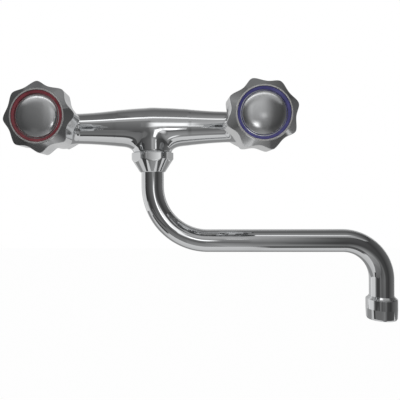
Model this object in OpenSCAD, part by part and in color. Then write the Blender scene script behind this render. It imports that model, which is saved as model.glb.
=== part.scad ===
// Wall-mounted two-knob mixer tap with a swinging S spout.
// X runs along the body towards the cold side, the front is at -Y, Z is up, millimetres.
// The origin lies midway between the two inlets, in the plane of their union nuts' mouths.

/* [Body] */
// Distance between the two inlets
inlet_spacing = 150; // [130:1:200]
// Distance of the cross arms' axis in front of the inlet plane
arm_reach = 34; // [34:0.5:50]
// Radius of the cross arms next to the housings
arm_end_r = 12.2; // [11:0.1:13.5]
// Radius of the cross arms in the middle
arm_mid_r = 16; // [15:0.1:18]
// Length over which the arms run level into the housings
arm_root = 3; // [2:0.5:6]
// Outer radius of the valve housings
housing_r = 15; // [14.5:0.1:17]
// Length of a valve housing in front of the arms' axis
housing_front = 33; // [33:1:42]
// Length of a valve housing behind the arms' axis
housing_back = 16; // [15.5:0.5:17]
// Rounding of the housings' rims
housing_round = 2.5; // [1:0.1:3.5]
// Radius of the water way through the arms
waterway_r = 7; // [5:0.1:8]
// Radius of the bend that leads each arm into the outlet boss
tee_bend_r = 27; // [24:0.5:32]
// Radius of those bends' section
tee_r = 13; // [12:0.1:14]

/* [Valve seat] */
// Radius of the valve chamber
chamber_r = 10.5; // [9.8:0.1:11.5]
// Length of the chamber behind the arms' axis
chamber_back = 9; // [8:0.5:11]
// Height of the seat above the chamber floor
seat_lip = 4; // [3:0.1:5]
// Outer radius of the seat
seat_r = 6.8; // [6.2:0.1:7.5]
// Radius of the hole through the seat
seat_hole_r = 5; // [4:0.1:5.3]

/* [Inlets] */
// Thread depth that the union nut leaves for the wall fitting
union_engage = 6; // [5:0.5:7]
// Radius of the union nut's thread
union_thread_r = 9.32; // [9.2:0.01:10]
// Width of the union nut across its flats
union_flats = 24; // [23:0.5:27]
// Thickness of the nut's inner shoulder
union_shoulder = 3; // [2:0.1:4]
// Thickness of the inlet washer
inlet_washer_t = 2; // [1:0.1:2.5]
// Radius of the hole through washer and tail
inlet_hole_r = 5.5; // [4.5:0.1:5.7]
// Outer radius of the inlet tail
tail_r = 7.5; // [7.2:0.1:8]
// Thickness of the tail's collar
tail_collar_t = 2.5; // [2:0.1:3.5]
// Radius of the tail's threaded end
tail_thread_r = 7; // [6.6:0.1:7.2]
// Length of the tail's threaded end
tail_thread_len = 5; // [4:0.5:5.5]
// Room between the union nut's thread and what lies inside it
union_room = 0.5; // [0.4:0.1:0.8]
// Depth of the relief behind the union nut's thread
union_relief = 0.3; // [0.2:0.1:0.5]

/* [Headwork] */
// Radius of the bonnet's thread in the housing
bonnet_thread_r = 10.3; // [9.4:0.1:11]
// Length of the bonnet's thread
bonnet_thread_len = 12; // [9:0.5:15]
// Radius of the bonnet's nose behind the thread
bonnet_nose_r = 9; // [8.5:0.1:9.3]
// Length of the bonnet's nose
bonnet_nose_len = 16; // [12:0.5:18]
// Width of the bonnet's hexagon across its flats
bonnet_flats = 27; // [25:0.5:29]
// Thickness of the bonnet's hexagon
bonnet_hex_t = 7; // [5:0.5:9]
// Radius of the bonnet's neck
bonnet_neck_r = 8.5; // [7:0.1:10]
// Length of the neck in front of the hexagon
bonnet_neck_len = 10; // [9:0.5:11]
// Thickness of the gasket under the hexagon
bonnet_gasket_t = 1; // [0.5:0.1:2]
// Radius of the spindle's stem
stem_r = 4; // [3.6:0.1:4.6]
// Radius of the spindle's screw
screw_r = 3.5; // [3:0.1:3.8]
// Radius of the spindle's thrust flange
flange_r = 5.3; // [4.9:0.1:5.4]
// Thickness of the thrust flange
flange_t = 2; // [1:0.1:3]
// Width of the hexagonal plunger across its flats
plunger_flats = 11; // [10.9:0.1:12]
// Length of the plunger
plunger_len = 23; // [20:0.5:24]
// Travel of the plunger from shut to open
plunger_lift = 4; // [2:0.1:5]
// Thickness of the plunger's closed rear end
plunger_web = 5; // [4.8:0.1:6]
// Thickness of the rubber seat washer
seat_washer_t = 3; // [2:0.1:4]
// Radius of the rubber seat washer
seat_washer_r = 7; // [6.6:0.1:8]
// Radius of the washer screw's shank
washer_screw_r = 1.5; // [1:0.1:2]
// Length of the washer screw in the plunger
washer_screw_len = 4; // [2:0.1:4.2]
// Thickness of the sealing ring on the spindle
stem_ring_d = 1.8; // [1.4:0.1:2.2]
// Thickness of the spindle clip
clip_t = 1; // [0.6:0.1:1.2]
// Depth of the clip's groove
clip_groove = 0.8; // [0.5:0.1:1]
// Width by which the clip stands out of its groove
clip_stand = 1.6; // [1:0.1:2]
// Opening of the clip
clip_gap = 3; // [2:0.1:4]
// Depth of the spindle's splines
spline_depth = 0.45; // [0.3:0.05:0.5]

/* [Knobs] */
// Radius to the knob's eight corners
knob_r = 24.5; // [23.5:0.1:28]
// Depth of the hollows between the corners
knob_scallop = 3.2; // [1.5:0.1:3.5]
// Gap between the bonnet's hexagon and the knob's back edge
knob_gap = 4; // [2:0.5:5]
// Depth of the knob from its back edge to its front rim
knob_depth = 25; // [24:0.5:30]
// Depth of the sloping front of the knob at its corners
knob_bevel = 5.5; // [3:0.1:7]
// Radius of the knob's front rim
knob_rim_r = 18.7; // [18.1:0.1:20.8]
// Radius of the hollow at the back of the knob
knob_hollow_r = 18.6; // [17.5:0.1:19]
// Depth of that hollow
knob_hollow = 14; // [13:0.1:15]
// Thickness of the wall that the knob's screw clamps
knob_web = 4; // [3:0.1:5]
// Radius of the hub that holds the splines
knob_hub_r = 7; // [6.5:0.1:9]
// Turn of the hot knob's corners from the cross arms, degrees
hot_knob_turn = 2.6; // [0:0.1:45]
// Turn of the cold knob's corners from the cross arms, degrees
cold_knob_turn = 15.9; // [0:0.1:45]
// Outer radius of the coloured index ring
ring_r = 17.4; // [16.6:0.1:17.6]
// Gap between the ring and the cap
ring_gap = 0.4; // [0.2:0.1:1]
// Thickness of the index ring
ring_t = 1.6; // [1:0.1:2.2]
// Depth of the index ring below the front rim
ring_sink = 0.4; // [0.1:0.1:1]
// Radius of the domed cap
cap_r = 14.8; // [13.5:0.1:15]
// Height of the cap's dome
cap_dome = 4.3; // [3:0.1:6]
// Width of the ledge that the cap rests on
cap_ledge = 1.8; // [1.2:0.1:2.4]
// Height of the cap's straight edge under its dome
cap_edge_t = 0.6; // [0.3:0.1:1.2]
// Radius of the knob screw's shank
knob_screw_r = 2; // [1.6:0.1:2.4]
// Radius of the knob screw's head
knob_screw_head_r = 4; // [3.2:0.1:5]
// Thickness of the knob screw's head
knob_screw_head_t = 2.2; // [1.8:0.1:2.6]

/* [Outlet] */
// Depth of the boss's lower face below the arms' axis
boss_drop = 20; // [19.5:0.1:20.5]
// Radius of the outlet boss
boss_r = 15; // [14.5:0.1:16]
// Radius of the thread under the boss
outlet_thread_r = 12.6; // [12.3:0.1:12.9]
// Length of the thread under the boss
outlet_thread_len = 6; // [5:0.1:6.5]
// Radius of the socket that takes the spout's collar
socket_r = 11; // [10.9:0.05:11.2]
// Width of the outlet nut across its flats
outlet_nut_flats = 31; // [30.4:0.1:32.4]
// Radius to which the outlet nut is turned before its flats are cut
outlet_nut_r = 16.8; // [16.4:0.1:17.4]
// Turn at which the outlet nut comes tight
outlet_nut_turn = 4.5; // [-30:0.5:30]
// Height of the outlet nut
outlet_nut_h = 15.5; // [14.5:0.5:17]
// Radius of the nut's lower end
outlet_nut_end_r = 10.4; // [10.3:0.1:12]
// Height of the nut's conical part
outlet_nut_cone = 10.4; // [9:0.1:12]
// Thickness of the collar's flange
collar_flange_t = 1.5; // [1:0.1:1.8]
// Thickness of the friction ring
friction_ring_t = 1; // [0.6:0.1:1.3]
// Thickness of the spout's sealing rings
spout_ring_d = 1.8; // [1.4:0.1:2]

/* [Spout] */
// Outer radius of the spout tube
tube_r = 9; // [8:0.1:9.2]
// Wall of the spout tube
tube_wall = 1; // [0.8:0.1:1.5]
// Reach of the spout from the outlet's axis
spout_reach = 180; // [150:1:300]
// Depth of the level stretch below the arms' axis
spout_drop = 91; // [85:1:120]
// Radius of the upper bend
upper_bend_r = 44; // [30:1:46]
// Radius of the lower bend
lower_bend_r = 30; // [22:1:40]
// Depth of the spout's mouth below the level stretch
mouth_leg = 61.5; // [58:0.5:90]
// Length of the aerator sleeve
aerator_len = 16.5; // [14.5:0.5:22]
// Outer radius of the aerator sleeve
aerator_r = 11.5; // [11.4:0.1:13]
// Width of the aerator's inner lip
aerator_lip = 1.8; // [1:0.1:2.2]
// Height of the ferrule's sloping rim above the sleeve
ferrule_rise = 1.5; // [0.8:0.1:2.5]
// Wall of the aerator sleeve at its thread
aerator_wall = 1.05; // [1:0.05:1.5]
// Height of the aerator's inner lip
aerator_lip_t = 1.5; // [1:0.1:2.5]
// Thickness of the perforated disc
screen_t = 0.8; // [0.5:0.1:1.2]
// Height of the jet plate
insert_h = 3; // [2:0.1:4]
// Thickness of the aerator washer
aerator_washer_t = 1.5; // [1:0.1:2]
// Number of holes in the disc's inner circle
screen_holes = 5; // [3:1:5]
// Radius of the disc's holes
screen_hole_r = 0.7; // [0.4:0.1:0.8]
// Number of holes in the jet plate
jet_holes = 8; // [4:1:8]
// Radius of the jet plate's holes
jet_hole_r = 0.9; // [0.5:0.1:1.1]
// Radius of the circle of the jet plate's holes
jet_circle_r = 5; // [3.5:0.1:6]

/* [Fits] */
// Radial clearance of pieces that turn or slide in each other
run_fit = 0.05; // [0.02:0.01:0.1]
// Radial clearance of pieces that are screwed or pushed together
joint_fit = 0.02; // [0.01:0.01:0.05]
// Axial play of pieces that turn against each other
end_play = 0.05; // [0.02:0.01:0.1]
// Gap between faces that pass without touching
free_gap = 0.3; // [0.3:0.05:0.4]

/* [Hidden] */
SIDES = ["hot", "cold"];
VALVE_PIECES = ["inlet_tail", "union_nut", "inlet_washer", "bonnet", "bonnet_gasket", "spindle", "plunger",
    "seat_washer", "washer_screw", "spindle_oring", "spindle_clip", "knob", "index_ring", "knob_cap",
    "knob_screw"];
$fn = 64;

// How far a cut runs past the faces it opens, and how far joined lengths reach into each other
over = 1;
// Small gap left between ends that do not touch
end_gap = 0.2;
// Small edge break
ease = 0.4;

// Distances in front of the inlet plane, along a valve's axis
washer_rear = union_engage + free_gap;
washer_front = washer_rear + inlet_washer_t;
tail_collar_r = union_thread_r - union_room;
collar_front = washer_front + tail_collar_t;
nut_front = collar_front + free_gap + union_shoulder;
housing_rear = arm_reach - housing_back;
tail_end = housing_rear + tail_thread_len;
chamber_floor = arm_reach - chamber_back;
seat_face = chamber_floor + seat_lip;
housing_face = arm_reach + housing_front;
gasket_front = housing_face + bonnet_gasket_t;
hex_front = gasket_front + bonnet_hex_t;
neck_front = hex_front + bonnet_neck_len;
thread_rear = housing_face - bonnet_thread_len;
nose_rear = thread_rear - bonnet_nose_len;
plunger_rear = seat_face + seat_washer_t;
plunger_front = plunger_rear + plunger_len;
flange_rear = plunger_front + plunger_lift + 2 * over;
flange_front = flange_rear + flange_t;
screw_end = plunger_rear + plunger_web + plunger_lift + over;
screw_point = neck_front - over;
knob_rear = hex_front + knob_gap;
hollow_floor = knob_rear + knob_hollow;
web_front = hollow_floor + knob_web;
knob_front = knob_rear + knob_depth;
stem_end = hollow_floor - end_gap;
clip_rear = neck_front + end_play;
spline_rear = clip_rear + clip_t + end_gap;
stem_ring_at = gasket_front + bonnet_hex_t / 2;
ring_floor = knob_front - ring_sink - ring_t;
cap_edge = ring_floor + cap_edge_t;
cap_plug_r = cap_r - cap_ledge;
cap_plug_end = web_front + end_gap;

// The water way ends in the chambers, clear of the seats
waterway_end = inlet_spacing / 2 - (seat_r + chamber_r) / 2;

// Heights below the arms' axis, along the outlet's axis
thread_low = -boss_drop - outlet_thread_len;
collar_low = thread_low - end_play - collar_flange_t;
friction_low = collar_low - end_play - friction_ring_t;
outlet_nut_top = -boss_drop - end_gap;
outlet_nut_low = outlet_nut_top - outlet_nut_h;
socket_top = -waterway_r - over;
collar_top = socket_top - over;
collar_r = socket_r - run_fit;
collar_flange_r = outlet_thread_r - free_gap;
collar_mid = (collar_top + thread_low) / 2;
spout_ring_gap = 2.6;
mouth = -spout_drop - mouth_leg;
lip_top = mouth + aerator_lip_t;
insert_low = lip_top + screen_t;
insert_top = insert_low + insert_h;
ferrule_low = insert_top + aerator_washer_t;
shell_top = mouth + aerator_len;
ferrule_top = shell_top + ferrule_rise;
shell_bore_r = aerator_r - aerator_wall;
ferrule_r = shell_bore_r - joint_fit;
disc_r = ferrule_r - end_play;
hole_pitch = (shell_bore_r - aerator_lip - 4 * end_gap) / 3.2;

// Points of an arc from angle a0 to angle a1 about a centre
function arc(cx, cy, r, a0, a1, n) = [for (i = [0:n])
    let (a = a0 + (a1 - a0) * i / n) [cx + r * cos(a), cy + r * sin(a)]];

// Radius of the cross arms at the distance x from the middle: one wave of a cosine
function arm_radius(x) = arm_end_r + (arm_mid_r - arm_end_r) * (1 + cos(180 * min(1, x / arm_wave))) / 2;
arm_wave = inlet_spacing / 2 - housing_r + arm_root;

// How far the knob's outline is drawn in at the angle a: none at a corner, all of it between two
corner_soft = 0.14;
function drawn_in(a) = (sqrt(pow(sin(4 * a), 2) + corner_soft) - sqrt(corner_soft))
    / (sqrt(1 + corner_soft) - sqrt(corner_soft));

// Outline of the knob with its corners turned by the angle turn
knob_steps = 96;
function knob_outline(turn) = [for (i = [0:knob_steps - 1])
    let (a = 360 * i / knob_steps, r = knob_r - knob_scallop * drawn_in(a))
    [r * cos(a + turn), r * sin(a + turn)]];

// Outline of the splines on the spindle and in the hub, grown by the clearance g
spline_count = 20;
function spline_outline(g) = [for (i = [0:2 * spline_count - 1])
    let (a = 180 * i / spline_count, r = stem_r - end_gap + g - (i % 2 == 0 ? 0 : spline_depth))
    [r * cos(a), r * sin(a)]];

// Radius to the corners of a hexagon of the given width across its flats
function corner_r(flats) = flats / 2 / cos(30);

// Puts a valve's pieces on their axis: local Z points to the front, local Y points up
module at_valve(side) {
    translate([(side == "hot" ? -1 : 1) * inlet_spacing / 2, 0, 0]) rotate([90, 0, 0]) children();
}

// Puts the outlet's pieces on the arms' axis
module at_outlet() {
    translate([0, -arm_reach, 0]) children();
}

// A round bar or hole from the height z0 to the height z1
module rod(r, z0, z1) {
    translate([0, 0, z0]) cylinder(r = r, h = z1 - z0);
}

// A ring from the height z0 to the height z1
module ring(r_out, r_in, z0, z1) {
    difference() {
        rod(r_out, z0, z1);
        rod(r_in, z0 - over, z1 + over);
    }
}

// A hexagonal bar with the given width across its flats
module hexagon(flats, z0, z1) {
    translate([0, 0, z0]) cylinder(r = corner_r(flats), h = z1 - z0, $fn = 6);
}

// A hexagonal bar with its corners taken down at both ends
module nut_blank(flats, z0, z1) {
    end_r = flats / 2 + ease;
    side_r = corner_r(flats) + ease;
    drop = corner_r(flats) - flats / 2;
    intersection() {
        hexagon(flats, z0, z1);
        rotate_extrude() polygon([[0, z0], [end_r, z0], [side_r, z0 + drop], [side_r, z1 - drop],
            [end_r, z1], [0, z1]]);
    }
}

// Valve housing with rounded rims, solid
module housing() {
    r = housing_r;
    e = housing_round;
    rotate_extrude() polygon(concat([[0, housing_rear]],
        arc(r - e, housing_rear + e, e, -90, 0, 6),
        arc(r - e, housing_face - e, e, 0, 90, 6),
        [[0, housing_face]]));
}

// Room inside a valve housing: tail thread, seat hole, chamber round the seat, bonnet thread
module valve_room() {
    rod(tail_thread_r + joint_fit, housing_rear - over, tail_end);
    rod(seat_hole_r, tail_end - over, seat_face + over);
    ring(chamber_r, seat_r, chamber_floor, seat_face);
    rod(chamber_r, seat_face, thread_rear);
    rod(bonnet_thread_r + joint_fit, thread_rear, housing_face + over);
}

// Cross arms: a bar whose radius swells towards the middle
module arms() {
    half = inlet_spacing / 2;
    steps = 10;
    rotate([0, 90, 0]) rotate_extrude() polygon(concat([[0, -half]],
        [for (i = [-steps:steps]) [arm_radius(half * abs(i) / steps), half * i / steps]],
        [[0, half]]));
}

// One bend that leads an arm down into the outlet boss
module tee_bend() {
    translate([tee_bend_r, 0, -tee_bend_r]) rotate([90, 0, 0]) rotate([0, 0, 90])
        rotate_extrude(angle = 90) translate([tee_bend_r, 0]) circle(r = tee_r);
}

// Casting: arms, housings, outlet boss and thread, with its water ways
module body() {
    color("silver") difference() {
        union() {
            for (side = SIDES) at_valve(side) housing();
            at_outlet() {
                arms();
                intersection() {
                    union() {
                        tee_bend();
                        mirror([1, 0, 0]) tee_bend();
                    }
                    translate([0, 0, -boss_drop]) cylinder(r = 2 * tee_bend_r, h = boss_drop);
                }
                rod(boss_r, -boss_drop, 0);
                rod(outlet_thread_r - joint_fit, thread_low, -boss_drop);
            }
        }
        for (side = SIDES) at_valve(side) valve_room();
        at_outlet() {
            rotate([0, 90, 0]) rod(waterway_r, -waterway_end, waterway_end);
            rod(waterway_r + over, socket_top - over, 0);
            rod(socket_r, thread_low - over, socket_top);
        }
    }
}

// Tail: collar, plain stretch that the nut turns on, threaded end
module inlet_tail() {
    color("silver") difference() {
        union() {
            rod(tail_collar_r, washer_front, collar_front);
            rod(tail_r, washer_front, housing_rear);
            rod(tail_thread_r, housing_rear - over, tail_end);
        }
        rod(inlet_hole_r, washer_front - over, tail_end + over);
    }
}

// Union nut: thread for the wall fitting, shoulder behind the tail's collar
module union_nut() {
    color("silver") difference() {
        rotate([0, 0, 30]) nut_blank(union_flats, 0, nut_front);
        rod(union_thread_r, -over, union_engage);
        rod(union_thread_r + union_relief, union_engage, collar_front + free_gap);
        rod(tail_r + run_fit, 0, nut_front + over);
    }
}

// Flat washer between the wall fitting and the tail
module inlet_washer() {
    color("dimgray") ring(tail_collar_r, inlet_hole_r, washer_rear, washer_front);
}

// Bonnet: nose, thread, hexagon and neck, with the plunger's hexagonal bore and the stem's bore
module bonnet() {
    color("goldenrod") difference() {
        union() {
            rod(bonnet_nose_r, nose_rear, thread_rear);
            rod(bonnet_thread_r, thread_rear, gasket_front);
            nut_blank(bonnet_flats, gasket_front, hex_front);
            rod(bonnet_neck_r, hex_front, neck_front);
        }
        hexagon(plunger_flats + 2 * run_fit, nose_rear - over, flange_front + end_play);
        rod(stem_r + run_fit, flange_front, neck_front + over);
    }
}

// Flat ring under the bonnet's hexagon
module bonnet_gasket() {
    color("dimgray") ring(bonnet_flats / 2, bonnet_thread_r + joint_fit, housing_face, gasket_front);
}

// Spindle: screw, thrust flange, stem with two grooves, splined end with the screw's hole
module spindle() {
    color("goldenrod") difference() {
        union() {
            rod(screw_r, screw_end, flange_rear);
            rod(flange_r, flange_rear, flange_front);
            rod(stem_r, flange_front, spline_rear);
            translate([0, 0, spline_rear])
                linear_extrude(stem_end - spline_rear) polygon(spline_outline(0));
        }
        ring(stem_r + over, stem_r - clip_groove, clip_rear, clip_rear + clip_t);
        translate([0, 0, stem_ring_at])
            ring(stem_r + over, stem_r - stem_ring_d, -stem_ring_d / 2, stem_ring_d / 2);
        rod(knob_screw_r + joint_fit, screw_point - over, stem_end + over);
    }
}

// Plunger: hexagonal slider with the spindle's screw hole in front and the washer's screw hole behind
module plunger() {
    color("goldenrod") difference() {
        hexagon(plunger_flats, plunger_rear, plunger_front);
        rod(screw_r + run_fit, plunger_rear + plunger_web, plunger_front + over);
        rod(washer_screw_r + joint_fit, plunger_rear - over, plunger_rear + washer_screw_len);
    }
}

// Rubber disc that closes on the seat
module seat_washer() {
    color("dimgray") ring(seat_washer_r, washer_screw_r + joint_fit, seat_face, plunger_rear);
}

// Screw that holds the rubber disc, its head inside the seat's hole
module washer_screw() {
    color("goldenrod") {
        rod(2 * washer_screw_r, seat_face - washer_screw_r, seat_face);
        rod(washer_screw_r, seat_face, plunger_rear + washer_screw_len);
    }
}

// Sealing ring in the stem's groove
module spindle_oring() {
    color("dimgray") translate([0, 0, stem_ring_at]) rotate_extrude()
        translate([stem_r + run_fit / 2 - stem_ring_d / 2, 0]) circle(d = stem_ring_d);
}

// Open clip in the stem's outer groove
module spindle_clip() {
    color("gray") difference() {
        ring(stem_r + clip_stand, stem_r - clip_groove + joint_fit, clip_rear, clip_rear + clip_t);
        translate([-clip_gap / 2, -2 * stem_r, clip_rear - over])
            cube([clip_gap, 2 * stem_r, clip_t + 2 * over]);
    }
}

// Knob: lobed bar with a sloping front, hollow at the back, hub with splines, seats for ring and cap
module knob(turn) {
    corner = knob_r + end_gap / 2;
    color("silver") difference() {
        intersection() {
            translate([0, 0, knob_rear]) linear_extrude(knob_depth) polygon(knob_outline(turn));
            rotate_extrude() polygon([[0, knob_rear], [corner, knob_rear],
                [corner, knob_front - knob_bevel], [knob_rim_r, knob_front - ease],
                [knob_rim_r - ease, knob_front], [0, knob_front]]);
        }
        difference() {
            rod(knob_hollow_r, knob_rear - over, hollow_floor);
            rod(knob_hub_r, spline_rear + end_gap, hollow_floor + over);
        }
        translate([0, 0, spline_rear])
            linear_extrude(hollow_floor - spline_rear) polygon(spline_outline(joint_fit));
        rod(knob_screw_r + joint_fit, hollow_floor - over, web_front + over);
        rod(ring_r, ring_floor, knob_front + over);
        rod(cap_plug_r + joint_fit, web_front, ring_floor + over);
    }
}

// Coloured index ring, seated in the knob's front
module index_ring(tint) {
    color(tint) ring(ring_r - joint_fit, cap_r + ring_gap, ring_floor, ring_floor + ring_t);
}

// Domed cap with a hollow plug that is pushed into the knob: the dome is half an ellipse, flat in the
// middle and round at its edge
module knob_cap() {
    cap_wall = 1.2;
    steps = 12;
    color("silver") difference() {
        rotate_extrude() polygon(concat(
            [[0, cap_plug_end], [cap_plug_r, cap_plug_end], [cap_plug_r, ring_floor], [cap_r, ring_floor]],
            [for (i = [0:steps]) let (a = 90 * i / steps) [cap_r * cos(a), cap_edge + cap_dome * sin(a)]]));
        rod(cap_plug_r - cap_wall, cap_plug_end - over, ring_floor + ease);
    }
}

// Screw through the knob's web into the spindle
module knob_screw() {
    head_front = web_front + knob_screw_head_t;
    slot = [2 * knob_screw_head_r + over, knob_screw_head_r / 4];
    color("gray") difference() {
        union() {
            rod(knob_screw_r, screw_point, web_front);
            rod(knob_screw_head_r, web_front, head_front);
        }
        translate([0, 0, head_front])
            linear_extrude(knob_screw_head_t, center = true) square(slot, center = true);
    }
}

// Nut turned to a cone below, with six flats cut on it and a shoulder that carries the spout
module outlet_nut() {
    color("silver") at_outlet() difference() {
        intersection() {
            rotate([0, 0, outlet_nut_turn])
                hexagon(outlet_nut_flats, outlet_nut_low - over, outlet_nut_top + over);
            rotate_extrude() polygon([[0, outlet_nut_low], [outlet_nut_end_r - ease, outlet_nut_low],
                [outlet_nut_end_r, outlet_nut_low + ease], [outlet_nut_r, outlet_nut_low + outlet_nut_cone],
                [outlet_nut_r, outlet_nut_top - ease], [outlet_nut_r - ease, outlet_nut_top],
                [0, outlet_nut_top]]);
        }
        rod(outlet_thread_r, friction_low, outlet_nut_top + over);
        rod(tube_r + free_gap, outlet_nut_low - over, outlet_nut_top);
    }
}

// Plastic ring that the spout's collar turns on
module friction_ring() {
    color("ivory") at_outlet()
        ring(collar_flange_r, tube_r + free_gap, friction_low, friction_low + friction_ring_t);
}

// Grooves for the spout's two sealing rings
module spout_ring_places() {
    for (s = [-1, 1]) translate([0, 0, collar_mid + s * spout_ring_gap]) children();
}

// Flanged bush on the top of the spout tube
module spout_collar() {
    groove_r = collar_r + run_fit / 2 - spout_ring_d;
    color("goldenrod") at_outlet() difference() {
        union() {
            rod(collar_r, collar_low, collar_top);
            rod(collar_flange_r, collar_low, collar_low + collar_flange_t);
        }
        rod(tube_r + joint_fit, collar_low - over, collar_top + over);
        spout_ring_places() ring(collar_r + over, groove_r, -spout_ring_d / 2, spout_ring_d / 2);
    }
}

// The two sealing rings of the spout
module spout_orings() {
    color("dimgray") at_outlet() spout_ring_places() rotate_extrude()
        translate([collar_r + run_fit / 2 - spout_ring_d / 2, 0]) circle(d = spout_ring_d);
}

// A bar of radius r along the spout's S-shaped path
module spout_bar(r, top, low) {
    level_start = upper_bend_r;
    level_end = spout_reach - lower_bend_r;
    rod(r, -spout_drop + upper_bend_r, top);
    translate([upper_bend_r, 0, -spout_drop + upper_bend_r]) rotate([90, 0, 0]) rotate([0, 0, 180])
        rotate_extrude(angle = 90) translate([upper_bend_r, 0]) circle(r = r);
    translate([level_start, 0, -spout_drop]) rotate([0, 90, 0]) rod(r, 0, level_end - level_start);
    translate([level_end, 0, -spout_drop - lower_bend_r]) rotate([90, 0, 0])
        rotate_extrude(angle = 90) translate([lower_bend_r, 0]) circle(r = r);
    translate([spout_reach, 0, 0]) rod(r, low, -spout_drop - lower_bend_r);
}

// S-bent tube
module spout_tube() {
    color("silver") at_outlet() difference() {
        spout_bar(tube_r, collar_top, ferrule_low);
        spout_bar(tube_r - tube_wall, collar_top + over, ferrule_low - over);
    }
}

// Puts the mouth's pieces on the axis of the spout's lower end
module at_mouth() {
    at_outlet() translate([spout_reach, 0, 0]) children();
}

// Threaded ring on the tube's lower end, with a sloping upper rim
module tip_ferrule() {
    color("silver") at_mouth() difference() {
        rotate_extrude() polygon([[0, ferrule_low], [ferrule_r, ferrule_low], [ferrule_r, shell_top],
            [tube_r + ease, ferrule_top], [0, ferrule_top]]);
        rod(tube_r + joint_fit, ferrule_low - over, ferrule_top + over);
    }
}

// Sleeve that holds the aerator's pieces, slightly narrower at its lip
module aerator_shell() {
    color("silver") at_mouth() difference() {
        rotate_extrude() polygon([[0, mouth], [aerator_r - 2 * ease, mouth],
            [aerator_r - ease, mouth + ease], [aerator_r, mouth + aerator_len / 2],
            [aerator_r, shell_top - 2 * ease],
            [aerator_r - 2 * ease, shell_top], [0, shell_top]]);
        rod(shell_bore_r, lip_top, shell_top + over);
        rod(shell_bore_r - aerator_lip, mouth - over, lip_top + over);
    }
}

// Rubber ring between the ferrule and the jet plate
module aerator_washer() {
    color("dimgray") at_mouth() ring(disc_r, tube_r - tube_wall, insert_top, ferrule_low);
}

// Plastic jet plate with a circle of holes
module aerator_insert() {
    color("ivory") at_mouth() difference() {
        rod(disc_r, insert_low, insert_top);
        for (i = [0:jet_holes - 1]) rotate([0, 0, 360 * i / jet_holes]) translate([jet_circle_r, 0, 0])
            rod(jet_hole_r, insert_low - over, insert_top + over);
    }
}

// Perforated disc in the mouth
module aerator_screen() {
    color("gainsboro") at_mouth() difference() {
        rod(disc_r, lip_top, insert_low);
        rod(screen_hole_r, lip_top - over, insert_low + over);
        for (row = [1:3]) for (i = [0:row * screen_holes - 1])
            rotate([0, 0, 360 * i / (row * screen_holes)]) translate([row * hole_pitch, 0, 0])
                rod(screen_hole_r, lip_top - over, insert_low + over);
    }
}

body();
outlet_nut();
friction_ring();
spout_collar();
spout_orings();
spout_tube();
tip_ferrule();
aerator_shell();
aerator_washer();
aerator_insert();
aerator_screen();
at_valve("hot") inlet_tail();  // hot_inlet_tail
at_valve("cold") inlet_tail();  // cold_inlet_tail
at_valve("hot") union_nut();  // hot_union_nut
at_valve("cold") union_nut();  // cold_union_nut
at_valve("hot") inlet_washer();  // hot_inlet_washer
at_valve("cold") inlet_washer();  // cold_inlet_washer
at_valve("hot") bonnet();  // hot_bonnet
at_valve("cold") bonnet();  // cold_bonnet
at_valve("hot") bonnet_gasket();  // hot_bonnet_gasket
at_valve("cold") bonnet_gasket();  // cold_bonnet_gasket
at_valve("hot") spindle();  // hot_spindle
at_valve("cold") spindle();  // cold_spindle
at_valve("hot") plunger();  // hot_plunger
at_valve("cold") plunger();  // cold_plunger
at_valve("hot") seat_washer();  // hot_seat_washer
at_valve("cold") seat_washer();  // cold_seat_washer
at_valve("hot") washer_screw();  // hot_washer_screw
at_valve("cold") washer_screw();  // cold_washer_screw
at_valve("hot") spindle_oring();  // hot_spindle_oring
at_valve("cold") spindle_oring();  // cold_spindle_oring
at_valve("hot") spindle_clip();  // hot_spindle_clip
at_valve("cold") spindle_clip();  // cold_spindle_clip
at_valve("hot") knob(hot_knob_turn);  // hot_knob
at_valve("cold") knob(cold_knob_turn);  // cold_knob
at_valve("hot") index_ring("crimson");  // hot_index_ring
at_valve("cold") index_ring("slateblue");  // cold_index_ring
at_valve("hot") knob_cap();  // hot_knob_cap
at_valve("cold") knob_cap();  // cold_knob_cap
at_valve("hot") knob_screw();  // hot_knob_screw
at_valve("cold") knob_screw();  // cold_knob_screw
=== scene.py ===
"""Looks of a wall-mounted two-knob mixer tap: plated casting, knobs, swinging S spout, and studio.

The frame is the part's: X along the body towards the cold side, -Y towards the user, Z up. Sizes of
the tap's pieces are millimetres, and those of the studio and camera are metres. Each section makes
one piece or one group of like pieces.
"""
import math

import bpy
import numpy as np
from mathutils import Matrix


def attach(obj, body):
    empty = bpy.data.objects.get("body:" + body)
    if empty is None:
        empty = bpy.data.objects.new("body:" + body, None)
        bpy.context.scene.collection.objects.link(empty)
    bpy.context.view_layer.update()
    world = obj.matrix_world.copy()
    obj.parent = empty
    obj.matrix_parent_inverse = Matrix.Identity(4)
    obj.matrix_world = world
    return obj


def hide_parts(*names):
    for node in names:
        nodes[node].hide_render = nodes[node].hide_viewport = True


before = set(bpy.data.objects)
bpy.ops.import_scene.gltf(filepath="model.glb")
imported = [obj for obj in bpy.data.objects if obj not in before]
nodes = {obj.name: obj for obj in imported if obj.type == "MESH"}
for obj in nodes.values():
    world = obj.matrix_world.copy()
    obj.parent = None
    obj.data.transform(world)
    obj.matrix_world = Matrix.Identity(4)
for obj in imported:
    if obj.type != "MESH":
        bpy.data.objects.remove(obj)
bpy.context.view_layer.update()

# ---- Cross casting --------------------------------------------------------------------------------
# One brass casting, polished and chromed: two arms swell towards the middle and run down into the
# outlet boss, between two upright valve housings, with soft cast blends. The chrome is never quite
# even: fingers and drying water leave faint smears, which dull it and tint it very slightly.

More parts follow.
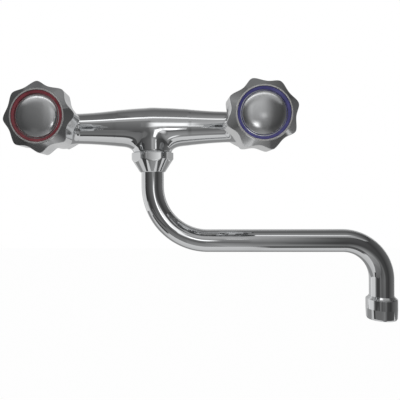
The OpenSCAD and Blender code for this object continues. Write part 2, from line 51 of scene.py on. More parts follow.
MM = 0.001
valves = ((-1, "hot"), (1, "cold"))
inlet_spacing = 150.0
arm_reach = 34.0
arm_end_r, arm_mid_r = 12.2, 16.0
arm_half, arm_stations, arm_around = 71.0, 321, 240
arm_least_r, arm_most_r = 6.0, 26.0
housing_r, housing_round = 15.0, 2.5
housing_rear, housing_face = 18.0, 67.0
housing_stations, housing_rim_stations, housing_around = 110, 9, 200
housing_least_r, housing_most_r = 10.0, 19.5
tee_bend_r, tee_r, tee_fade = 27.0, 13.0, 12.0
boss_r, boss_drop = 15.0, 20.0
boss_blend, boss_edge, arm_blend, housing_blend = 1.5, 0.8, 2.5, 3.0
arm_root = 3.0
arm_wave = inlet_spacing / 2 - housing_r + arm_root
halvings = 30

# Towards their ends the arms sink by a hair, so that the housings' soft roots cover them.
sunk, sunk_from, sunk_over = 0.04, 55.0, 3.0


def make_smears():
    """Smears: distorted noise on the piece's own coordinates gives a mask, a height, and a roughness
    that runs from Clean to Smeared with the mask."""
    group = bpy.data.node_groups.new("smears", "ShaderNodeTree")
    for label, value in (("Scale", 30.0), ("Clean", 0.04), ("Smeared", 0.12)):
        socket = group.interface.new_socket(label, in_out="INPUT", socket_type="NodeSocketFloat")
        socket.default_value = value
    for label in ("Mask", "Roughness", "Height"):
        group.interface.new_socket(label, in_out="OUTPUT", socket_type="NodeSocketFloat")
    add, link = group.nodes.new, group.links.new
    given = add("NodeGroupInput")
    result = add("NodeGroupOutput")
    place = add("ShaderNodeTexCoord")
    broad = add("ShaderNodeTexNoise")
    broad.inputs["Detail"].default_value = 4.0
    broad.inputs["Distortion"].default_value = 0.6
    link(place.outputs["Object"], broad.inputs["Vector"])
    link(given.outputs["Scale"], broad.inputs["Scale"])
    spread = add("ShaderNodeMapRange")
    spread.interpolation_type = "SMOOTHSTEP"
    spread.inputs["From Min"].default_value = 0.42
    spread.inputs["From Max"].default_value = 0.72
    link(broad.outputs["Fac"], spread.inputs["Value"])
    rough = add("ShaderNodeMapRange")
    link(spread.outputs["Result"], rough.inputs["Value"])
    link(given.outputs["Clean"], rough.inputs["To Min"])
    link(given.outputs["Smeared"], rough.inputs["To Max"])
    link(spread.outputs["Result"], result.inputs["Mask"])
    link(rough.outputs["Result"], result.inputs["Roughness"])
    link(broad.outputs["Fac"], result.inputs["Height"])
    return group


smears = make_smears()


def smeared_finish(name, metallic, bright, dull, scale, clean, smeared):
    """Material whose colour runs from bright to dull, and its roughness from clean to smeared, by
    smears of the given scale."""
    material = bpy.data.materials.new(name)
    material.use_nodes = True
    tree = material.node_tree
    shader = tree.nodes["Principled BSDF"]
    shader.inputs["Metallic"].default_value = metallic
    marks = tree.nodes.new("ShaderNodeGroup")
    marks.name = "marks"
    marks.node_tree = smears
    marks.inputs["Scale"].default_value = scale
    marks.inputs["Clean"].default_value = clean
    marks.inputs["Smeared"].default_value = smeared
    tint = tree.nodes.new("ShaderNodeValToRGB")
    tint.name = "tint"
    tint.color_ramp.elements[0].color = (*bright, 1.0)
    tint.color_ramp.elements[1].color = (*dull, 1.0)
    tree.links.new(marks.outputs["Mask"], tint.inputs["Fac"])
    tree.links.new(tint.outputs["Color"], shader.inputs["Base Color"])
    tree.links.new(marks.outputs["Roughness"], shader.inputs["Roughness"])
    return material


plating = (0.80, 0.81, 0.82)
plating_dull = (0.72, 0.73, 0.74)
# Colour and roughness of the painted highlight line along the knobs' front rims.
plating_highlight = (0.95, 0.94, 0.93)
rim_highlight_roughness = 0.55


def chrome(name, scale, clean, smeared, wave):
    """Chrome for one piece, with smears of the given scale and roughness and a waviness wave metres
    deep. Where the mesh's rim-line attribute is 1, a highlight is painted: the plating turns paler and
    rougher."""
    material = smeared_finish(name, 1.0, plating, plating_dull, scale, clean, smeared)
    tree = material.node_tree
    shader, marks, tint = (tree.nodes[label] for label in ("Principled BSDF", "marks", "tint"))
    bump = tree.nodes.new("ShaderNodeBump")
    bump.inputs["Strength"].default_value = 0.3
    bump.inputs["Distance"].default_value = wave
    tree.links.new(marks.outputs["Height"], bump.inputs["Height"])
    tree.links.new(bump.outputs["Normal"], shader.inputs["Normal"])
    # Painted highlight: where the rim-line attribute is 1, the colour turns paler and the roughness
    # rises.
    rim_highlight = tree.nodes.new("ShaderNodeAttribute")
    rim_highlight.attribute_name = "rim_highlight"
    paler = tree.nodes.new("ShaderNodeMix")
    paler.data_type = "RGBA"
    paler.inputs["B"].default_value = (*plating_highlight, 1.0)
    rim_rougher = tree.nodes.new("ShaderNodeMix")
    rim_rougher.inputs["B"].default_value = rim_highlight_roughness
    tree.links.new(rim_highlight.outputs["Fac"], paler.inputs["Factor"])
    tree.links.new(rim_highlight.outputs["Fac"], rim_rougher.inputs["Factor"])
    tree.links.new(tint.outputs["Color"], paler.inputs["A"])
    tree.links.new(marks.outputs["Roughness"], rim_rougher.inputs["A"])
    tree.links.new(paler.outputs["Result"], shader.inputs["Base Color"])
    tree.links.new(rim_rougher.outputs["Result"], shader.inputs["Roughness"])
    return material


def soft_min(a, b, k):
    """Smaller of two distances, with a blend of width k where they are alike."""
    h = np.clip(0.5 + 0.5 * (b - a) / k, 0.0, 1.0)
    return b + (a - b) * h - k * h * (1.0 - h)


def arms_distance(x, y, z):
    """Distance to the arms: to the axis, less a radius that is one wave of a cosine along x."""
    wave = (1.0 + np.cos(np.pi * np.minimum(1.0, np.abs(x) / arm_wave))) / 2.0
    return np.hypot(y, z) - (arm_end_r + (arm_mid_r - arm_end_r) * wave)


def cross_distance(x, y, z):
    """Distance to arms, bends and boss joined softly, cut level under the boss with an eased edge."""
    side = np.abs(x)
    bend = np.hypot(np.hypot(side - tee_bend_r, z + tee_bend_r) - tee_bend_r, y) - tee_r
    fading = np.hypot(z, y) - tee_r + (side - tee_bend_r) ** 2 / tee_fade
    boss = np.hypot(np.hypot(x, y), np.maximum(z, 0.0)) - boss_r
    drop = soft_min(np.where(side < tee_bend_r, bend, fading), boss, boss_blend)
    drop = -soft_min(-drop, z + boss_drop, boss_edge)
    return soft_min(arms_distance(x, y, z), drop, arm_blend)


def reach_of(distance, low, high, shape):
    """Radius along each ray at which a distance function turns positive, by halving an interval."""
    low = np.full(shape, low)
    high = np.full(shape, high)
    for _ in range(halvings):
        middle = (low + high) / 2.0
        inside = distance(middle) < 0.0
        low = np.where(inside, middle, low)
        high = np.where(inside, high, middle)
    return (low + high) / 2.0


def faces_of(stations, around, closed_ends):
    """Quads between neighbouring stations of a grid of points, and the fans that close its two ends
    to two further points."""
    i = np.arange(stations - 1 if closed_ends else stations)[:, None]
    j = np.arange(around)[None, :]
    here, there = i * around, ((i + 1) % stations) * around
    after = (j + 1) % around
    quads = np.stack([here + j, here + after, there + after, there + j], -1).reshape(-1, 4)
    if not closed_ends:
        return quads, np.zeros((0, 3), int)
    ring = np.arange(around)
    turned = (ring + 1) % around
    end = (stations - 1) * around
    first = np.full(around, stations * around)
    fans = [np.stack([turned, ring, first], -1), np.stack([end + ring, end + turned, first + 1], -1)]
    return quads, np.vstack(fans)


def volume_of(points, quads, fans):
    """Six times the volume inside the faces, negative where they look inwards: the sum of the triple
    products of their triangles' corners."""
    a, b, c, d = (points[quads[:, k]] for k in range(4))
    volume = np.einsum("ij,ij->i", np.cross(a, b), c).sum()
    volume += np.einsum("ij,ij->i", np.cross(a, c), d).sum()
    a, b, c = (points[fans[:, k]] for k in range(3))
    return volume + np.einsum("ij,ij->i", np.cross(a, b), c).sum()


def skin(name, grid, material, body, closed_ends=True):
    """Mesh over a grid of points (stations, points round, 3) in millimetres. The points round are
    joined into loops. Each end is closed to the mean of its last loop, or, without closed ends, the
    last station is joined to the first. The faces are turned outwards by the sign of the volume."""
    points = grid.reshape(-1, 3) * MM
    quads, fans = faces_of(*grid.shape[:2], closed_ends)
    if closed_ends:
        points = np.vstack([points, grid[0].mean(0) * MM, grid[-1].mean(0) * MM])
    if volume_of(points, quads, fans) < 0:
        quads, fans = quads[:, ::-1], fans[:, ::-1]
    corners = np.concatenate([quads.ravel(), fans.ravel()]).astype(np.int32)
    sizes = np.concatenate([np.full(len(quads), 4), np.full(len(fans), 3)])
    mesh = bpy.data.meshes.new(name)
    mesh.vertices.add(len(points))
    mesh.vertices.foreach_set("co", points.astype(np.float32).ravel())
    mesh.loops.add(len(corners))
    mesh.loops.foreach_set("vertex_index", corners)
    mesh.polygons.add(len(sizes))
    mesh.polygons.foreach_set("loop_start", (np.cumsum(sizes) - sizes).astype(np.int32))
    mesh.polygons.foreach_set("use_smooth", np.ones(len(sizes), bool))
    mesh.update(calc_edges=True)
    mesh.validate()
    mesh.materials.append(material)
    piece = bpy.data.objects.new(name, mesh)
    bpy.context.scene.collection.objects.link(piece)
    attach(piece, body)
    return piece


def circle(count):
    """Equal angles round a full turn, without the closing one."""
    return np.arange(count) * (2.0 * np.pi / count)


chrome_body = chrome("chrome_body", scale=22.0, clean=0.035, smeared=0.10, wave=0.00006)
span = np.linspace(-arm_half, arm_half, arm_stations)[:, None]
turn = circle(arm_around)[None, :]
across, up = np.cos(turn), np.sin(turn)
arm_radius = reach_of(lambda r: cross_distance(span, r * across, r * up),
                      arm_least_r, arm_most_r, (arm_stations, arm_around))
arm_radius -= sunk * np.clip((np.abs(span) - sunk_from) / sunk_over, 0.0, 1.0)
arms = np.stack(np.broadcast_arrays(span, arm_radius * across - arm_reach, arm_radius * up), -1)
cross = skin("cross_casting", arms, chrome_body, "frame_body")
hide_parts("body")


def housing_grid(side):
    """Upright housing on its own axis: a round bar whose radius, found along rays, takes in the root
    of the arm with a soft blend; both rims are quarter circles and both ends are flat."""
    rim = np.linspace(0.0, np.pi / 2, housing_rim_stations)
    wall = np.linspace(housing_rear + housing_round, housing_face - housing_round, housing_stations)
    depth = np.concatenate([
        housing_rear + housing_round * (1.0 - np.cos(rim)),
        wall[1:-1],
        housing_face - housing_round * (1.0 - np.cos(rim[::-1])),
    ])
    to_end = np.minimum(depth - housing_rear, housing_face - depth)
    edge = np.clip(to_end / housing_round, 0.0, 1.0)
    shrink = housing_round * (1.0 - np.sqrt(1.0 - (1.0 - edge) ** 2))
    angle = circle(housing_around)[None, :]
    along, rise = np.cos(angle), np.sin(angle)
    y = (arm_reach - depth)[:, None]

    def distance(r):
        x = side * inlet_spacing / 2 + r * along
        return soft_min(r - housing_r, arms_distance(x, y, r * rise), housing_blend)

    shape = (len(depth), housing_around)
    radius = reach_of(distance, housing_least_r, housing_most_r, shape) - shrink[:, None]
    x = side * inlet_spacing / 2 + radius * along
    return np.stack(np.broadcast_arrays(x, -depth[:, None], radius * rise), -1)


for side, name in valves:
    skin(name + "_housing", housing_grid(side), chrome_body, "frame_body")

# ---- Inlet tails ----------------------------------------------------------------------------------
# Short turned and chromed tubes that screw into the backs of the housings. Their collars lie inside
# the union nuts.


def dress(node, material):
    """Gives a node of the frame its material and its finish."""
    piece = nodes[node]
    piece.data.materials.clear()
    piece.data.materials.append(material)


for _, name in valves:
    dress(name + "_inlet_tail", chrome_body)

# ---- Knobs ----------------------------------------------------------------------------------------
# Die-cast handles with eight soft corners and hollowed sides, plated. The front slopes up to a round
# polished rim; behind it a step holds the index ring, and the middle takes the domed cap.

chrome_knob = chrome("chrome_knob", scale=35.0, clean=0.12, smeared=0.22, wave=0.00005)
knob_r, knob_scallop, corner_soft = 24.5, 3.2, 0.14
knob_turns = {"hot": 2.6, "cold": 15.9}
knob_rear, knob_front = 79.0, 104.0
knob_bevel, knob_rim_r, rim_ease = 5.5, 18.7, 0.4
knob_hollow_r, hollow_floor, hub_r, hub_rear, hub_bore = 18.6, 93.0, 7.0, 86.4, 4.05
hub_blind, brow_spare = 0.5, 0.1
knob_rounds = [0.2, 0.4, 0.6, 0.6, 0.5, 0.5, 0.9, 0.25, 0.2, 0.15, 0.1]
knob_around = 512
ring_r, ring_floor, cap_r, cap_seat = 17.4, 102.0, 14.8, 2.0
# Half width and fade of the painted highlight line round each knob's front rim.
rim_highlight_half, rim_highlight_fade = 0.8, 0.5


def round_corners(path, radii, steps, hold):
    """Rounds the corners of open paths (..., points, 2): each corner becomes an arc of steps points
    between the two tangent points, with one more point hold outside each, so that flats stay flat."""
    path = np.asarray(path, float)
    before = path[..., :-2, :] - path[..., 1:-1, :]
    after = path[..., 2:, :] - path[..., 1:-1, :]
    before /= np.linalg.norm(before, axis=-1, keepdims=True)
    after /= np.linalg.norm(after, axis=-1, keepdims=True)
    half = np.arccos(np.clip((before * after).sum(-1, keepdims=True), -1.0, 1.0)) / 2.0
    length = np.asarray(radii, float)[:, None] / np.tan(half)
    start = path[..., 1:-1, :] + before * length
    end = path[..., 1:-1, :] + after * length
    s = np.linspace(0.0, 1.0, steps).reshape((steps,) + (1,) * path.ndim)
    weight = np.sin(half)
    arc = (1 - s) ** 2 * start + 2 * s * (1 - s) * weight * path[..., 1:-1, :] + s ** 2 * end
    arc = arc / ((1 - s) ** 2 + 2 * s * (1 - s) * weight + s ** 2)
    rows = np.concatenate([(start + before * hold)[None], arc, (end + after * hold)[None]])
    rows = np.moveaxis(rows, 0, -2).reshape(path.shape[:-2] + (-1, 2))
    return np.concatenate([path[..., :1, :], rows, path[..., -1:, :]], -2)


def at_valve(side, radius, height, angle):
    """Places turned points on a valve's axis: height runs to the front, angle goes round it."""
    x = side * inlet_spacing / 2 + radius * np.cos(angle)
    return np.stack(np.broadcast_arrays(x, -height, radius * np.sin(angle)), -1)


def knob_grid(side, corner_turn):
    """Knob: for each angle the outline's radius is the corner radius less the hollow of a softened
    sine of four times the angle; a rounded section runs from the bore round the outside to the seat."""
    angle = circle(knob_around)
    deep = math.sqrt(1 + corner_soft) - math.sqrt(corner_soft)
    pull = (np.sqrt(np.sin(4 * angle) ** 2 + corner_soft) - math.sqrt(corner_soft)) / deep
    outline = knob_r - knob_scallop * pull
    slope = (knob_bevel - rim_ease) / (knob_r + brow_spare - knob_rim_r)
    brow = knob_front - rim_ease - (outline - knob_rim_r) * slope
    corners = [
        (hub_bore, hollow_floor - hub_blind), (hub_bore, hub_rear), (hub_r, hub_rear),
        (hub_r, hollow_floor), (knob_hollow_r, hollow_floor), (knob_hollow_r, knob_rear),
        (outline, knob_rear), (outline, brow), (knob_rim_r, knob_front - rim_ease),
        (knob_rim_r - rim_ease, knob_front), (ring_r, knob_front), (ring_r, ring_floor),
        (cap_r - cap_seat, ring_floor),
    ]
    section = np.stack([np.stack([r + 0 * angle, h + 0 * angle], -1) for r, h in corners], 1)
    section = round_corners(section, knob_rounds, steps=7, hold=0.08)
    turned = angle[None, :] + math.radians(corner_turn)
    return at_valve(side, section[..., 0].T, section[..., 1].T, turned)


for side, name in valves:
    grid = knob_grid(side, knob_turns[name])
    piece = skin(name + "_handle_shell", grid, chrome_knob, name + "_handle")
    # Painted highlight: a pale line round the flat front between the index ring and the rim's eased
    # edge, kept in a point attribute.
    radius = np.hypot(grid[..., 0] - side * inlet_spacing / 2, grid[..., 2])
    crest = (ring_r + knob_rim_r - rim_ease) / 2
    from_crest = np.hypot(radius - crest, grid[..., 1] + knob_front)
    rim_highlight_share = np.clip((rim_highlight_half - from_crest) / rim_highlight_fade, 0.0, 1.0)
    rim_highlight = piece.data.attributes.new("rim_highlight", "FLOAT", "POINT")
    rim_highlight.data.foreach_set("value", np.append(rim_highlight_share.ravel(), [0.0, 0.0]).astype(np.float32))
    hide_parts(name + "_knob")

# ---- Index rings ----------------------------------------------------------------------------------
# Moulded rings let into the knobs' fronts, red for hot and blue for cold. The plastic is glossy and
# carries a faint cloudiness from the mould.

ring_inner_r, ring_front = 15.2, 103.6
ring_slope, ring_gap = 0.7, 0.02
ring_around = 256
ring_tints = {"hot": ("red_ring", (0.20, 0.034, 0.046), (0.14, 0.024, 0.032)),
              "cold": ("blue_ring", (0.065, 0.062, 0.22), (0.045, 0.042, 0.16))}


def glossy_plastic(name, colour, deep):
    """Glossy moulded plastic: two close shades mixed by fine noise."""
    material = bpy.data.materials.new(name)
    material.use_nodes = True
    tree = material.node_tree
    shader = tree.nodes["Principled BSDF"]
    shader.inputs["Roughness"].default_value = 0.28
    place = tree.nodes.new("ShaderNodeTexCoord")
    cloud = tree.nodes.new("ShaderNodeTexNoise")
    cloud.inputs["Scale"].default_value = 160.0
    cloud.inputs["Detail"].default_value = 3.0
    tint = tree.nodes.new("ShaderNodeValToRGB")
    tint.color_ramp.elements[0].position = 0.35
    tint.color_ramp.elements[0].color = (*deep, 1.0)
    tint.color_ramp.elements[1].position = 0.65
    tint.color_ramp.elements[1].color = (*colour, 1.0)
    tree.links.new(place.outputs["Object"], cloud.inputs["Vector"])
    tree.links.new(cloud.outputs["Fac"], tint.inputs["Fac"])
    tree.links.new(tint.outputs["Color"], shader.inputs["Base Color"])
    return material


# A ring's path starts and ends on one flat face, a little apart, and its skin joins the two.
ring_section = round_corners([
    (ring_inner_r + 0.6, ring_floor), (ring_inner_r, ring_floor),
    (ring_inner_r, ring_front - ring_slope), (ring_r - ring_gap, ring_front),
    (ring_r - ring_gap, ring_floor), (ring_inner_r + 0.7, ring_floor),
], [0.1, 0.35, 0.35, 0.1], steps=6, hold=0.05)
for side, name in valves:
    slot, colour, deep = ring_tints[name]
    grid = at_valve(side, ring_section[:, :1], ring_section[:, 1:], circle(ring_around)[None, :])
    plastic = glossy_plastic(slot, colour, deep)
    piece = skin(name + "_index", grid, plastic, name + "_handle", closed_ends=False)
    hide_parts(name + "_index_ring")

# ---- Caps -----------------------------------------------------------------------------------------
# Pressed brass domes, polished and plated, pushed into the middles of the knobs over their screws.
# Each has a flat foot in the knob's seat, a short upright edge and a low dome.

chrome_cap = chrome("chrome_cap", scale=45.0, clean=0.20, smeared=0.26, wave=0.00003)
cap_dome, cap_edge, cap_foot, cap_foot_r = 4.3, 0.6, 1.0, 2.0
cap_around, cap_stations = 256, 90


def cap_grid(side):
    """Cap: a flat foot, a short upright edge and a dome that is half an ellipse."""
    edge, base = ring_floor + cap_edge, ring_floor - cap_foot
    sweep = np.linspace(0.0, np.pi / 2 - 0.002, cap_stations)
    dome = np.stack([cap_r * np.cos(sweep), edge + cap_dome * np.sin(sweep)], -1)
    foot = [(cap_foot_r, base), (cap_r, base), (cap_r, edge)]
    foot = round_corners(foot, [0.2], steps=7, hold=0.05)
    section = np.vstack([foot[:-1], dome])
    return at_valve(side, section[:, :1], section[:, 1:], circle(cap_around)[None, :])


for side, name in valves:
    piece = skin(name + "_dome", cap_grid(side), chrome_cap, name + "_handle")
    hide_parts(name + "_knob_cap")

# ---- Nuts -----------------------------------------------------------------------------------------
# Hexagonal nuts turned from bar and plated: the outlet nut, whose lower part is turned to a cone so
# that its flats end in arcs, and the two union nuts at the back, with both ends eased.

chrome_nut = chrome("chrome_nut", scale=40.0, clean=0.04, smeared=0.11, wave=0.00004)
nut_around, nut_stations, nut_edge_stations = 384, 110, 9
nut_edge, nut_blend = 0.8, 0.35


def hexagon_radius(angle, flats):
    """Radius of a hexagon of the given width over flats, with corners at each sixth of a turn."""
    sixth = np.mod(angle, np.pi / 3) - np.pi / 6
    return flats / 2 / np.cos(sixth)


def nut_grid(flats, low, high, turned, bore, corner_angle):
    """Nut: at each height and angle the radius is the smaller of the hexagon's and the turned
    profile's, blended at the edge; the bore is the given profile, and the ends join the two."""
    angle = circle(nut_around)[None, :]
    ends = np.linspace(0, nut_edge, nut_edge_stations)
    height = np.concatenate([np.linspace(low, high, nut_stations), low + ends, high - ends])
    height = np.unique(height)[:, None]
    outside = np.interp(height, turned[:, 1], turned[:, 0])
    outer = soft_min(hexagon_radius(angle - corner_angle, flats), outside, nut_blend)
    inner = np.interp(height[::-1], bore[:, 1], bore[:, 0])
    radius = np.vstack([outer, np.broadcast_to(inner, outer.shape)])
    return radius, np.vstack([height, height[::-1]]), angle


outlet_flats, outlet_r, outlet_end_r, outlet_ease = 31.0, 16.8, 10.4, 0.4
outlet_top, outlet_low, outlet_cone, outlet_turn = -20.2, -35.7, 10.4, math.radians(4.5)
outlet_hole_r, outlet_thread_r, outlet_seat, seat_slope = 9.3, 12.6, -28.7, 0.1
profile = np.array([
    (outlet_end_r - outlet_ease, outlet_low), (outlet_end_r, outlet_low + outlet_ease),
    (outlet_r, outlet_low + outlet_cone), (outlet_r, outlet_top - outlet_ease),
    (outlet_r - outlet_ease, outlet_top),
])
bore = np.array([
    (outlet_hole_r, outlet_low), (outlet_hole_r, outlet_seat),
    (outlet_thread_r, outlet_seat + seat_slope), (outlet_thread_r, outlet_top),
])
radius, height, angle = nut_grid(outlet_flats, outlet_low, outlet_top, profile, bore, outlet_turn)
around_boss = radius * np.cos(angle), radius * np.sin(angle) - arm_reach, height
grid = np.stack(np.broadcast_arrays(*around_boss), -1)
piece = skin("spout_nut", grid, chrome_nut, "frame_body", closed_ends=False)
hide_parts("outlet_nut")

union_flats, union_length, union_end_r, union_over = 24.0, 14.1, 12.4, 0.4
union_thread_r, union_relief_r, union_hole_r = 9.32, 9.62, 7.55
union_thread, union_seat, relief_slope = 6.0, 11.05, 0.05
union_corner = union_flats / 2 / math.cos(math.pi / 6)
union_ease = union_corner - union_flats / 2
profile = np.array([
    (union_end_r, 0.0), (union_corner + union_over, union_ease),
    (union_corner + union_over, union_length - union_ease), (union_end_r, union_length),
])
bore = np.array([
    (union_thread_r, 0.0), (union_thread_r, union_thread),
    (union_relief_r, union_thread + relief_slope), (union_relief_r, union_seat),
    (union_hole_r, union_seat + seat_slope), (union_hole_r, union_length),
])
for side, name in valves:
    turned = nut_grid(union_flats, 0.0, union_length, profile, bore, math.pi / 6)
    grid = at_valve(side, *turned)
    piece = skin(name + "_union", grid, chrome_nut, name + "_union", closed_ends=False)
    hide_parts(name + "_union_nut")

# ---- Spout ----------------------------------------------------------------------------------------
# Drawn brass tube, polished and plated, bent twice in one plane to an S. Its upper end is brazed into
# the bush that swings in the outlet, and its lower end is open inside the aerator.

chrome_tube = chrome("chrome_tube", scale=18.0, clean=0.03, smeared=0.09, wave=0.00005)
tube_r, tube_wall, spout_reach, spout_drop = 9.0, 1.0, 180.0, 91.0
upper_bend_r, lower_bend_r = 44.0, 30.0
tube_top, tube_end = -9.0, -145.7
straight_stations, bend_stations, tube_around = 14, 60, 96


def spout_path():
    """Centre line: down, a quarter turn outwards, level, a quarter turn down, down. Each station has
    its place in the spout's plane and the direction it looks in."""
    quarter = np.linspace(0.0, np.pi / 2, bend_stations)
    inward, outward = 1 - np.cos(quarter), np.sin(quarter)
    level = spout_reach - lower_bend_r
    upper = np.stack([upper_bend_r * inward, -spout_drop + upper_bend_r * (1 - outward)], -1)
    lower = np.stack([level + lower_bend_r * outward, -spout_drop - lower_bend_r * inward], -1)
    run = np.linspace(0.0, 1.0, straight_stations)[:, None]
    top, end = np.array([0.0, tube_top]), np.array([spout_reach, tube_end])
    first = top + run * (upper[0] - top)
    middle = upper[-1] + run * (lower[0] - upper[-1])
    final = lower[-1] + run * (end - lower[-1])
    place = np.vstack([first[:-1], upper, middle[1:-1], lower, final[1:]])
    down = np.full(straight_stations - 1, -np.pi / 2)
    heading = [down, quarter - np.pi / 2, np.zeros(straight_stations - 2), -quarter, down]
    return place, np.concatenate(heading)


def spout_grid():
    """Tube: a circle square to the path at every station, then the same with the inner radius on the
    way back, so that outside and bore are one closed skin."""
    place, heading = spout_path()
    angle = circle(tube_around)[None, :, None]
    side_way = np.stack([-np.sin(heading), 0 * heading, np.cos(heading)], -1)[:, None, :]
    depth_way = np.array([0.0, 1.0, 0.0])
    rim = np.cos(angle) * side_way + np.sin(angle) * depth_way
    centre = np.stack([place[:, 0], 0 * heading - arm_reach, place[:, 1]], -1)[:, None, :]
    return np.vstack([centre + tube_r * rim, (centre + (tube_r - tube_wall) * rim)[::-1]])


piece = skin("spout_pipe", spout_grid(), chrome_tube, "spout", closed_ends=False)
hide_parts("spout_tube")

# ---- Aerator --------------------------------------------------------------------------------------
# Turned and plated sleeve on a threaded ferrule that is soldered to the tube; its upper rim slopes
# and its lower end draws in a little towards the lip.

chrome_aerator = chrome("chrome_aerator", scale=40.0, clean=0.04, smeared=0.11, wave=0.00004)
mouth, lip_top, shell_top = -152.5, -151.0, -136.0
lip_r, shell_r, shell_bore_r = 8.65, 11.5, 10.45
shell_slope, shell_draw, draw_height, lip_width, lip_height = 0.8, 0.35, 8.25, 1.0, 1.2
ferrule_low, ferrule_top = tube_end, -134.5
ferrule_r, ferrule_rim_r, ferrule_bore_r = 10.43, 9.4, 9.02
mouth_around = 192


def at_mouth(section):
    """A section of radius and height carried round the axis of the spout's lower end."""
    angle = circle(mouth_around)[None, :]
    radius, height = section[:, :1], section[:, 1:]
    x = spout_reach + radius * np.cos(angle)
    return np.stack(np.broadcast_arrays(x, radius * np.sin(angle) - arm_reach, height), -1)


sleeve = round_corners([
    (lip_r + 0.5, mouth), (shell_r - lip_width, mouth), (shell_r - shell_draw, mouth + lip_height),
    (shell_r, mouth + draw_height), (shell_r, shell_top - shell_slope),
    (shell_r - shell_slope, shell_top), (shell_bore_r, shell_top), (shell_bore_r, lip_top),
    (lip_r, lip_top), (lip_r, mouth), (lip_r + 0.4, mouth),
], [0.4, 0.8, 4.0, 0.3, 0.2, 0.05, 0.1, 0.1, 0.15], steps=6, hold=0.05)
piece = skin("aerator_sleeve", at_mouth(sleeve), chrome_aerator, "spout",
             closed_ends=False)
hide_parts("aerator_shell")

ferrule = round_corners([
    (9.6, ferrule_low), (ferrule_r, ferrule_low), (ferrule_r, shell_top),
    (ferrule_rim_r, ferrule_top), (ferrule_bore_r, ferrule_top), (ferrule_bore_r, ferrule_low),
    (9.5, ferrule_low),
], [0.1, 0.2, 0.12, 0.05, 0.05], steps=6, hold=0.04)
piece = skin("spout_ferrule", at_mouth(ferrule), chrome_tube, "spout",
             closed_ends=False)
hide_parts("tip_ferrule")

# ---- Brass, steel, rubber and plastic inside --------------------------------------------------------
# Bare turned brass of the headworks and the spout's bush, bright steel screws, clips and disc, black
# rubber seals, white acetal in the aerator and under the bush. Each has two close shades and an
# uneven roughness: tarnish on the metals, marks of the mould on rubber and plastic.

brass = smeared_finish("brass", metallic=1.0, bright=(0.72, 0.53, 0.25), dull=(0.52, 0.37, 0.17),
                       scale=60.0, clean=0.22, smeared=0.40)
steel = smeared_finish("steel", metallic=1.0, bright=(0.60, 0.60, 0.60), dull=(0.48, 0.48, 0.48),
                       scale=80.0, clean=0.20, smeared=0.38)
rubber = smeared_finish("rubber", metallic=0.0, bright=(0.035, 0.035, 0.036),
                        dull=(0.055, 0.054, 0.052), scale=90.0, clean=0.50, smeared=0.62)
acetal = smeared_finish("white_plastic", metallic=0.0, bright=(0.83, 0.82, 0.78),
                        dull=(0.76, 0.75, 0.70), scale=70.0, clean=0.38, smeared=0.50)

# For each finish: its material, the pieces that each valve has, and those that the tap has once.
inside = {
    "chrome_nut": (chrome_nut, ["bonnet"], []),
    "brass": (brass, ["spindle", "plunger", "washer_screw"], ["spout_collar"]),
    "steel": (steel, ["spindle_clip", "knob_screw"], ["aerator_screen"]),
    "rubber": (rubber, ["inlet_washer", "bonnet_gasket", "seat_washer", "spindle_oring"],
               ["spout_orings", "aerator_washer"]),
    "white_plastic": (acetal, [], ["friction_ring", "aerator_insert"]),
}
for slot, (material, paired, single) in inside.items():
    for name in single + [valve + "_" + piece for _, valve in valves for piece in paired]:
        dress(name, material)

# ---- Studio ---------------------------------------------------------------------------------------
# A white floor far below the tap, a white surround, and one long soft lamp above. The chrome mirrors
# soft cards instead: large dark and pale ones all round draw its edges and bands, and small bright
# ones close in front draw its highlights.


def camera_or_mirror(tree):
    """1 where a ray comes from the camera, a mirror or glass, else 0."""
    path = tree.nodes.new("ShaderNodeLightPath")
    most = path.outputs["Is Camera Ray"]
    for label in ("Is Glossy Ray", "Is Transmission Ray"):
        larger = tree.nodes.new("ShaderNodeMath")
        larger.operation = "MAXIMUM"
        tree.links.new(most, larger.inputs[0])
        tree.links.new(path.outputs[label], larger.inputs[1])
        most = larger.outputs[0]
    return most


def blended_surface(name, under, over):
    """Material that shows one shader under another, and the Mix Shader whose factor is still open."""
    material = bpy.data.materials.new(name)
    material.use_nodes = True
    tree = material.node_tree
    tree.nodes.remove(tree.nodes["Principled BSDF"])
    under, over = tree.nodes.new(under), tree.nodes.new(over)
    mix = tree.nodes.new("ShaderNodeMixShader")
    tree.links.new(under.outputs[0], mix.inputs[1])
    tree.links.new(over.outputs[0], mix.inputs[2])
    tree.links.new(mix.outputs[0], tree.nodes["Material Output"].inputs["Surface"])
    return material, under, over, mix


def white_paper(name, glowing):
    """White paper: it takes shadows as paint does, and to the camera and in mirrors the share glowing
    of it is plain white."""
    material, paint, _, mix = blended_surface(name, "ShaderNodeBsdfDiffuse", "ShaderNodeEmission")
    tree = material.node_tree
    paint.inputs["Color"].default_value = (0.96, 0.96, 0.96, 1.0)
    share = tree.nodes.new("ShaderNodeMath")
    share.operation = "MULTIPLY"
    share.inputs[1].default_value = glowing
    tree.links.new(camera_or_mirror(tree), share.inputs[0])
    tree.links.new(share.outputs[0], mix.inputs["Fac"])
    return material


def glowing_card():
    """Glow of the strength that the mesh's "tone" gives, see-through where its "cover" is 0."""
    material, _, glow, mix = blended_surface(
        "studio_card", "ShaderNodeBsdfTransparent", "ShaderNodeEmission")
    tree = material.node_tree
    for label, socket in (("tone", glow.inputs["Strength"]), ("cover", mix.inputs["Fac"])):
        value = tree.nodes.new("ShaderNodeAttribute")
        value.attribute_name = label
        tree.links.new(value.outputs["Fac"], socket)
    return material


def sheet(name, points, faces, material):
    """Flat sheet of the studio, from points in metres."""
    mesh = bpy.data.meshes.new(name)
    mesh.from_pydata(points, [], faces)
    mesh.materials.append(material)
    thing = bpy.data.objects.new(name, mesh)
    bpy.context.scene.collection.objects.link(thing)
    return thing


card_material = glowing_card()
card_cells = 24


